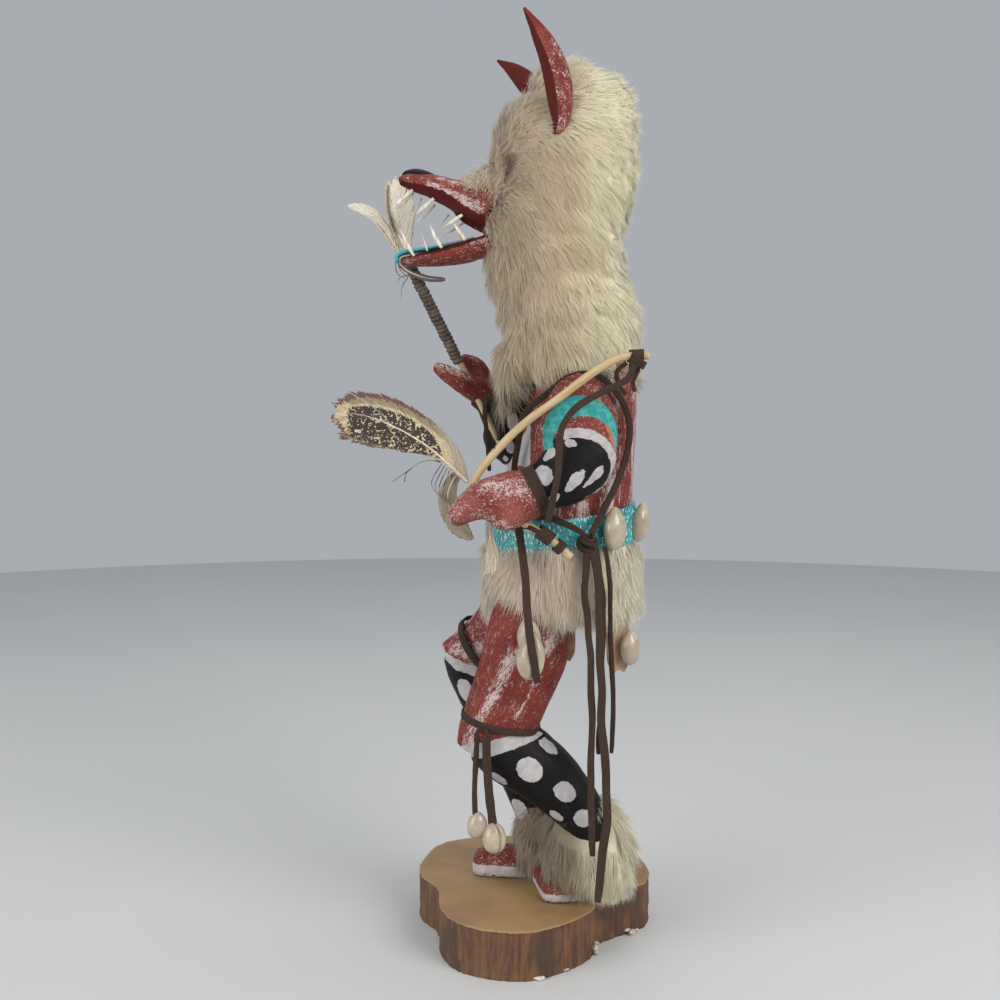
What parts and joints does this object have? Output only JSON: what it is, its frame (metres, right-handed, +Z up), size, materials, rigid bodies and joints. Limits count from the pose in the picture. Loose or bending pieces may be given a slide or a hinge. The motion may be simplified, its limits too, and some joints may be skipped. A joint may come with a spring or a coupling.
{
  "type": "kachina doll",
  "caption": "Carved and painted wolf dancer figure on a sawn branch slice, with fur hood and kilt, snarling muzzle, bow, rattle staff, feathers, cowries and hanging suede laces.",
  "frame": {"origin": "on the flat underside of the branch slice, below the figure's middle plane", "axes": "+Z up the figure, -X the way it faces, -Y its left side"},
  "size_m": [0.1441, 0.1182, 0.4093],
  "materials": {
    "branch": "sanded raw wood with streaked bark sides",
    "red_paint": "matt red-brown paint with white dry brushing, black forearms and shins with white spots",
    "ear_paint": "matt red-brown paint with white dry brushing",
    "tongue_paint": "turquoise paint",
    "fur": "cream rabbit fur",
    "bow_wood": "peeled pale twig",
    "suede": "dark brown suede lace",
    "tan_suede": "tan suede",
    "staff_cord": "wound grey-brown lace",
    "belt_strap": "turquoise with white and dark flecks",
    "shell": "glossy cream shell",
    "plume": "cream and grey feather",
    "barred_feather": "brown and cream barred feather"
  },
  "bodies": {
    "root": {"base_slice": "branch", "torso": "red_paint", "left_leg": "red_paint", "right_leg": "red_paint", "left_arm": "red_paint", "right_arm": "red_paint", "head": "red_paint", "left_ear": "ear_paint", "right_ear": "ear_paint", "tongue": "tongue_paint", "fur_hood": "fur", "belt": "belt_strap", "kilt_fur": "fur", "left_ankle_fur": "fur", "right_ankle_fur": "fur", "bow": "bow_wood", "bow_string": "suede", "rattle_staff": "bow_wood", "staff_wrap": "staff_cord", "staff_feather_wide": "plume", "staff_feather_curled": "plume", "staff_quill": "barred_feather", "hand_feather": "barred_feather", "drooping_plume": "barred_feather", "short_plume": "plume", "bandolier": "suede", "hip_knot": "suede", "hip_lace_1": "suede", "hip_lace_2": "suede", "hip_lace_3": "suede", "hip_lace_4": "suede", "wrist_lace_1": "suede", "wrist_lace_2": "suede", "kilt_lace": "suede", "knee_lace_1": "suede", "knee_lace_2": "suede", "left_knee_tie": "suede", "right_knee_tie": "suede", "left_wrist_wrap": "suede", "right_wrist_wrap": "suede", "rear_flap": "tan_suede", "side_flap": "tan_suede", "belt_cowrie_1": "shell", "belt_cowrie_2": "shell", "belt_cowrie_3": "shell", "flap_cowrie": "shell", "kilt_cowrie_1": "shell", "kilt_cowrie_2": "shell", "knee_cowrie_1": "shell", "knee_cowrie_2": "shell"}
  },
  "joints": []
}
